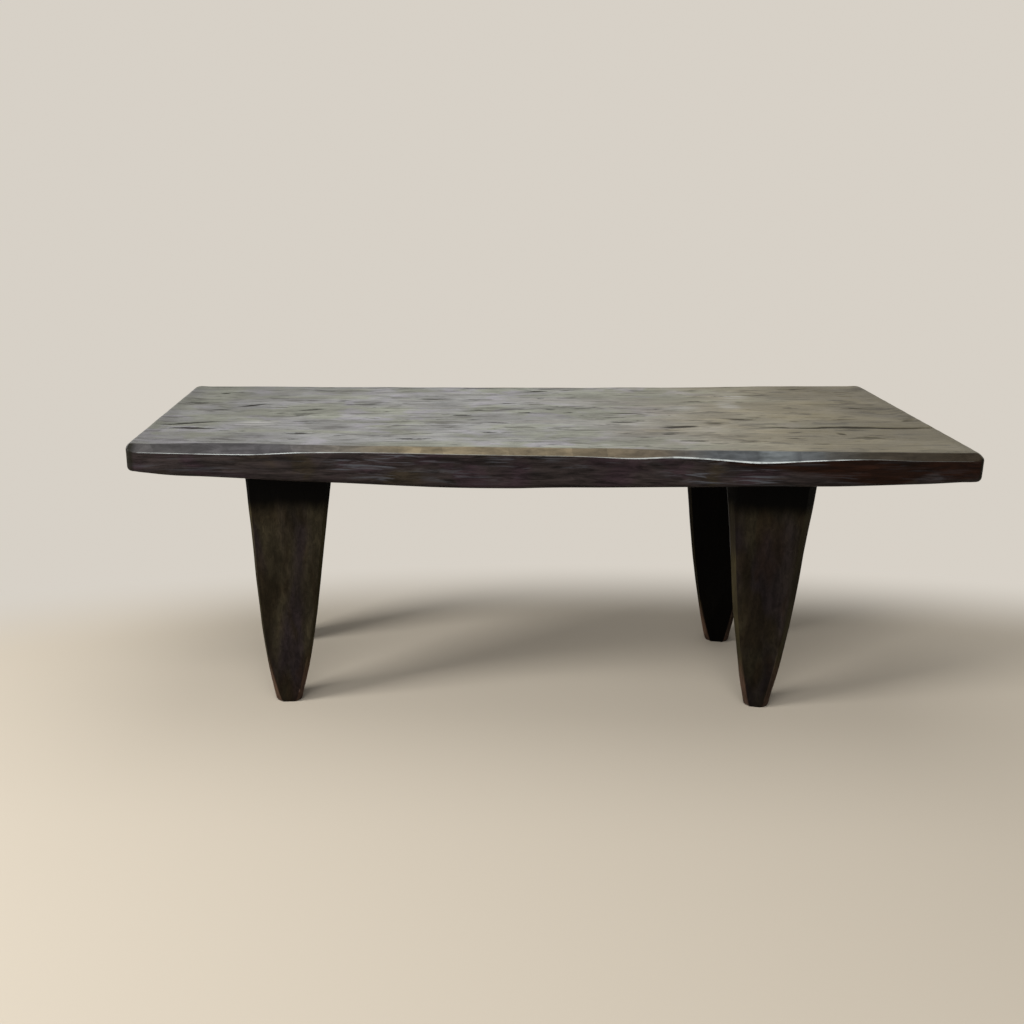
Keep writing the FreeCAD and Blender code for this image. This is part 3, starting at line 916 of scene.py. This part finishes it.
def refineNear(mesh, lines, cuts):
    # smaller faces on the top beside each check, so that its groove is real geometry
    bm = bmesh.new()
    bm.from_mesh(mesh)
    tops = [f for f in bm.faces if min(v.co.z for v in f.verts) > topLevel]
    centres = np.array([f.calc_center_median()[:2] for f in tops])
    near = np.zeros(len(tops), bool)
    for line in lines:
        share, behind, length = distanceTo(centres, line)
        beside = abs(behind) < line[4] / 2 + checkCut["sideMargin"]
        near |= beside & (abs(share - 0.5) * length < length / 2 + checkCut["endMargin"])
    edges = {e for f, isNear in zip(tops, near) if isNear for e in f.edges}
    bmesh.ops.subdivide_edges(bm, edges=list(edges), cuts=cuts, use_grid_fill=True)
    bm.to_mesh(mesh)
    bm.free()


def readValues(mesh, name):
    values = np.zeros(len(mesh.vertices))
    mesh.attributes[name].data.foreach_get("value", values)
    return values


def writeValues(mesh, name, values):
    mesh.attributes.new(name, "FLOAT", "POINT").data.foreach_set("value", values)


def cutChecks(mesh, lines):
    # a check is a lens in plan, with its deepest line and its steep wall towards the back
    points = np.zeros(len(mesh.vertices) * 3)
    mesh.vertices.foreach_get("co", points)
    points = points.reshape(-1, 3)
    onTop = readValues(mesh, "topFace") > 0.9
    deep, dark, pale = np.zeros((3, len(points)))
    steep = checkCut["steepShare"]
    for n, line in enumerate(lines):
        width, depth = line[4:]
        share, behind, length = distanceTo(points[:, :2], line)
        for swing, wave, shift in checkCut["waves"]:
            behind = behind + swing * width * np.sin(share * length / wave + shift * n)
        if n >= len(topChecks):
            bow = math.sin(looseChecks["bowShift"] * n)
            behind = behind + looseChecks["bow"] * length * (share - 0.5) ** 2 * bow
        lens = np.clip(4 * share * (1 - share), 0.0, 1.0) ** checkCut["lensPower"]
        across = behind / (width / 2 * np.maximum(lens, checkCut["leastLens"]))
        rising = np.clip((across + 1) / (2 - steep), 0.0, 1.0)
        falling = np.clip((1 - across) / steep, 0.0, 1.0)
        groove = np.where((share > 0) & (share < 1), np.minimum(rising, falling), 0.0)
        full = min(1.0, depth / checkCut["darkDepth"] + checkCut["leastDark"])
        deep = np.maximum(deep, smoothStep(groove) * depth * lens)
        dark = np.maximum(dark, smoothStep(checkCut["darkSpread"] * groove) * lens * full)

    def spot(x, y, reachX, reachY):
        # an oval on the top, in millimetres, that fades out at its edge
        offset = points[:, :2] * 1000 - (x, y)
        reached = np.hypot(offset[:, 0] / reachX, offset[:, 1] / reachY)
        return smoothStep(checkCut["spotEdge"] - reached)

    for x, y, width, depth in topHoles:
        pit = spot(x, y, width / 2, width / 2)
        deep, dark = np.maximum(deep, pit * depth / 1000), np.maximum(dark, pit)
    for fleck in paleFlecks:
        pale = np.maximum(pale, 0.7 * spot(*fleck))
    points[:, 2] -= np.where(onTop, deep, 0.0)
    mesh.vertices.foreach_set("co", points.ravel())
    writeValues(mesh, "checks", np.where(onTop, dark, 0.0))
    writeValues(mesh, "flecks", np.where(onTop, pale, 0.0))
    mesh.update()


def dressSides(mesh):
    # the bevels and the upright faces take the duller of the plank's two finishes
    mesh.materials.append(plankSideWood)
    side = np.maximum(readValues(mesh, "bevel"), readValues(mesh, "face"))
    for polygon in mesh.polygons:
        if side[list(polygon.vertices)].mean() > 0.5:
            polygon.material_index = 1


def makePlank():
    mesh = makePlankMesh()
    lines = allChecks()
    refineNear(mesh, lines[:len(topChecks)], 2)
    refineNear(mesh, lines[len(topChecks):], 1)
    piece = newPiece("hewnPlank", mesh)
    for marks in (plank["topMarks"], plank["faceMarks"]):
        growTree(piece, hewingTree, {**marks, "material": plankWood})
    settle(piece)
    cutChecks(piece.data, lines)
    dressSides(piece.data)
    piece.data.shade_smooth()
    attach(piece, "root")
    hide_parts("plank")
    print("plank ready:", len(piece.data.polygons), "faces")


makePlank()


# Legs
leg = {
    "width": 0.135, "depth": 0.118, "housingDepth": 0.003, "tenonGap": 0.00005,
    "shape": {
        "plainCut": 0.01, "headCutGrowth": 1.6, "footCut": 0.008, "toeHeight": 0.2,
        "notchFrom": 0.895, "notchRun": 0.015, "arrisRound": 0.0018, "columnSpacing": 0.006,
        "rings": 92, "ringBunching": 1.3, "cornerSlack": -0.0004, "marksFrom": 0.003,
        "marksFull": 0.02, "sharpAngle": 0.8,
    },
    "marks": {
        "markSize": (0.026, 0.026, 0.1), "markDepth": 0.0009,
        "rippleSize": (0.06, 0.06, 0.16), "rippleDepth": 0.0012, "weightName": "legWeight",
    },
}
# A leg's width at each share of its height, as a share of its width at the head.
legTaper = (
    (0.0, 0.265), (0.0125, 0.305), (0.0421, 0.352), (0.0816, 0.4), (0.1409, 0.465),
    (0.2298, 0.55), (0.3483, 0.64), (0.526, 0.75), (0.7334, 0.85), (0.8914, 0.94),
    (1.0, 1.0),
)
# Each leg's name, the middle of its head and of its foot on plan, its size, how much slimmer its
# foot is, its turn in degrees, its corner cuts from the front left one anticlockwise, a notch in
# the head's front left corner, its tone, partly its wood's own and partly painted shade that
# darkens the legs standing deeper in the plank's shade, the back right one most, and its seed.
legs = (
    ("front_left", (-0.39, -0.105), (-0.4046, -0.1123), 1.0, 0.0, 4.0,
     (0.003, 0.005, 0.011, 0.01), 0.0, 1.0, 1.0),
    ("front_right", (0.3515, -0.1313), (0.3567, -0.1339), 1.02, 0.085, -12.0,
     (0.0065, 0.008, 0.012, 0.012), 0.005, 0.72, 2.0),
    ("back_left", (-0.4229, 0.1262), (-0.4373, 0.1334), 0.967, 0.02, 6.0,
     (0.008, 0.008, 0.01, 0.01), 0.0, 0.5, 3.0),
    ("back_right", (0.334, 0.1272), (0.352, 0.1362), 1.01, 0.0, -10.0,
     (0.0045, 0.006, 0.01, 0.01), 0.0, 0.06, 4.0),
)
cutNames = ("frontLeftCut", "frontRightCut", "backRightCut", "backLeftCut")


def makeLegTree():
    tree, start = newTree(
        "hewnLeg", Vector="head foot", Int="rings", Material="material",
        Float=" ".join(cutNames) + " width depth slimness turn notch notchFrom notchRun plainCut "
        "headCutGrowth footCut toeHeight arrisRound columnSpacing ringBunching tone cornerSlack "
        "marksFrom marksFull sharpAngle")
    # the outline at the head: an oblong, its corners cut off and each arris then eased
    outline = valueOf(tree, "GeometryNodeCurvePrimitiveQuadrilateral",
                      {"Width": start["width"], "Height": start["depth"]})
    for count, radius in ((1, start["plainCut"]), (2, start["arrisRound"])):
        outline = valueOf(tree, "GeometryNodeFilletCurve", {
            "Curve": outline, "Count": count, "Radius": radius, "Limit Radius": True,
        }, mode="POLY")
    place = valueOf(tree, "GeometryNodeInputPosition")
    following = addNode(tree, "GeometryNodeOffsetPointInCurve", {"Offset": 1}).outputs["Point Index"]
    nextPlace = valueOf(tree, "GeometryNodeFieldAtIndex", {"Index": following, "Value": place},
                        data_type="FLOAT_VECTOR")
    run = vectorCalc("DISTANCE", place, nextPlace)
    cuts = calc("FLOOR", calc("DIVIDE", run, start["columnSpacing"]))
    outline = valueOf(tree, "GeometryNodeSubdivideCurve", {"Curve": outline, "Cuts": cuts})
    onOutline = capture(outline, "VECTOR", "place", place)

    # the rings, closer together towards the foot
    line = valueOf(tree, "GeometryNodeCurvePrimitiveLine", {"Start": (0, 0, 0), "End": (0, 0, 1)})
    rail = valueOf(tree, "GeometryNodeResampleCurve", {"Curve": line, "Count": start["rings"]})
    factor = addNode(tree, "GeometryNodeSplineParameter").outputs["Factor"]
    onRail = capture(rail, "FLOAT", "factor", factor)
    swept = valueOf(tree, "GeometryNodeCurveToMesh", {
        "Curve": onRail[0], "Profile Curve": onOutline[0], "Fill Caps": True})

    # each point is set from its place on the outline and its share of the height
    rise = calc("POWER", onRail["factor"], start["ringBunching"])
    taper = addNode(tree, "ShaderNodeFloatCurve", {"Factor": 1.0, "Value": rise})
    curve = taper.mapping.curves[0]
    curve.points[0].location, curve.points[1].location = legTaper[0], legTaper[-1]
    for point in legTaper[1:-1]:
        curve.points.new(*point)
    taper.mapping.update()
    share = times(taper.outputs[0], minus(1.0, times(start["slimness"], minus(1.0, rise))))

    # the corner that a point is nearest to gives its cut: larger at the head, and at the toe
    # the same for all
    onSide = split(onOutline["place"])
    onRight = calc("GREATER_THAN", onSide["X"], 0.0)
    onBack = calc("GREATER_THAN", onSide["Y"], 0.0)
    frontLeft, frontRight, backRight, backLeft = (start[name] for name in cutNames)
    sideCut = mixValue(onBack, mixValue(onRight, frontLeft, frontRight),
                       mixValue(onRight, backLeft, backRight))
    grown = times(minus(start["headCutGrowth"], 1.0), times(rise, rise))
    notched = spread(rise, minus(start["notchFrom"], start["notchRun"]), start["notchFrom"])
    inFrontLeft = times(minus(1.0, onRight), minus(1.0, onBack))
    bodyCut = plus(times(sideCut, plus(grown, 1.0)), times(start["notch"], notched, inFrontLeft))
    toe = calc("SUBTRACT", 1.0, calc("DIVIDE", rise, start["toeHeight"]), clamp=True)
    ownCut = mixValue(toe, bodyCut, start["footCut"])

    # the plain outline's flats and corners are stretched to the leg's own
    none = (0.0, 0.0, 0.0)
    plainPlace = vectorCalc("MULTIPLY", vectorCalc("ABSOLUTE", onOutline["place"]),
                            combine(share, share, 0.0))
    half = combine(times(start["width"], 0.5, share), times(start["depth"], 0.5, share), 1.0)
    plainCut = times(start["plainCut"], share)
    plain = vectorCalc("SUBTRACT", half, combine(plainCut, plainCut, 0.5))
    own = vectorCalc("SUBTRACT", half, combine(ownCut, ownCut, 0.5))
    shape = vectorCalc("ADD", spreadVector(plainPlace, none, plain, none, own),
                       spreadVector(plainPlace, plain, half, none, combine(ownCut, ownCut, 0.0)))
    shape = vectorCalc("MULTIPLY", shape, vectorCalc("SIGN", onOutline["place"]))
    shape = valueOf(tree, "ShaderNodeVectorRotate", {"Vector": shape, "Angle": start["turn"]},
                    rotation_type="Z_AXIS")
    middle = addNode(tree, "ShaderNodeMix", {0: rise, 4: start["foot"], 5: start["head"]},
                     data_type="VECTOR").outputs[1]
    shape = vectorCalc("ADD", shape, middle)
    geometry = valueOf(tree, "GeometryNodeSetPosition", {0: swept, "Position": shape})

    # the corner facets, for the finish, and no tool marks at the sole
    beyond = split(vectorCalc("SUBTRACT", plainPlace, plain))
    onCorner = calc("GREATER_THAN", calc("MINIMUM", beyond["X"], beyond["Y"]), start["cornerSlack"])
    weight = spread(split(shape)["Z"], start["marksFrom"], start["marksFull"])
    for name, value in (("corner", onCorner), ("legWeight", weight), ("tone", start["tone"])):
        geometry = store(geometry, name, value)
    bend = addNode(tree, "GeometryNodeInputMeshEdgeAngle").outputs["Unsigned Angle"]
    sharp = valueOf(tree, "FunctionNodeCompare", {0: bend, 1: start["sharpAngle"]},
                    operation="GREATER_THAN")
    for domain, chosen, smooth in (("FACE", True, True), ("EDGE", sharp, False)):
        geometry = valueOf(tree, "GeometryNodeSetShadeSmooth", {
            0: geometry, "Selection": chosen, "Shade Smooth": smooth}, domain=domain)
    endTree(geometry, start["material"])
    return tree


def legShoulder(x, size):
    # a leg's head goes into the plank at the plank's thinnest place over it
    reach = leg["width"] * size / 2
    over = placeOf(x + np.array([-reach, 0, reach]))
    thinnest = plank["thickness"] * shareAt(thicknessShares, over).min()
    return float(plank["seatHeight"] - thinnest + leg["housingDepth"])


def addTenon(piece, node, shoulder):
    # the CAD leg's own round tenon, cut off at the shoulder, stands on the leg's head
    bm = bmesh.new()
    bm.from_mesh(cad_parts[node].data)
    bmesh.ops.remove_doubles(bm, verts=bm.verts, dist=1e-6)
    cut = bmesh.ops.bisect_plane(
        bm, geom=bm.verts[:] + bm.edges[:] + bm.faces[:], plane_no=(0, 0, 1),
        plane_co=(0, 0, shoulder + leg["tenonGap"]), clear_inner=True)
    rim = [e for e in cut["geom_cut"] if isinstance(e, bmesh.types.BMEdge)]
    bmesh.ops.triangle_fill(bm, edges=rim, use_beauty=True, use_dissolve=True)
    bmesh.ops.recalc_face_normals(bm, faces=bm.faces)
    for f in bm.faces:
        f.material_index = 0
        f.smooth = False
    bm.from_mesh(piece.data)
    bm.to_mesh(piece.data)
    bm.free()


def makeLegs():
    tree = makeLegTree()
    for name, head, foot, size, slimness, turn, cuts, notch, tone, seed in legs:
        node = name + "_leg"
        shoulder = legShoulder(head[0], size)
        piece = newPiece(node.title().replace("_", ""), bpy.data.meshes.new(node))
        growTree(piece, tree, {
            **leg["shape"], "width": leg["width"] * size, "depth": leg["depth"] * size,
            "head": (*head, shoulder), "foot": (*foot, 0.0), "slimness": slimness,
            "turn": math.radians(turn), "notch": notch, "tone": tone, "material": legWood,
            **dict(zip(cutNames, cuts)),
        })
        growTree(piece, hewingTree, {**leg["marks"], "seed": seed, "material": legWood})
        settle(piece)
        addTenon(piece, node, shoulder)
        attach(piece, "root")
        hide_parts(node)
        print(piece.name, "ready:", len(piece.data.polygons), "faces")


makeLegs()

for name, *_ in legs:
    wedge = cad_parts[name + "_tenon_wedge"]
    wedge.data.materials.clear()
    wedge.data.materials.append(wedgeWood)
print("wedges dressed")
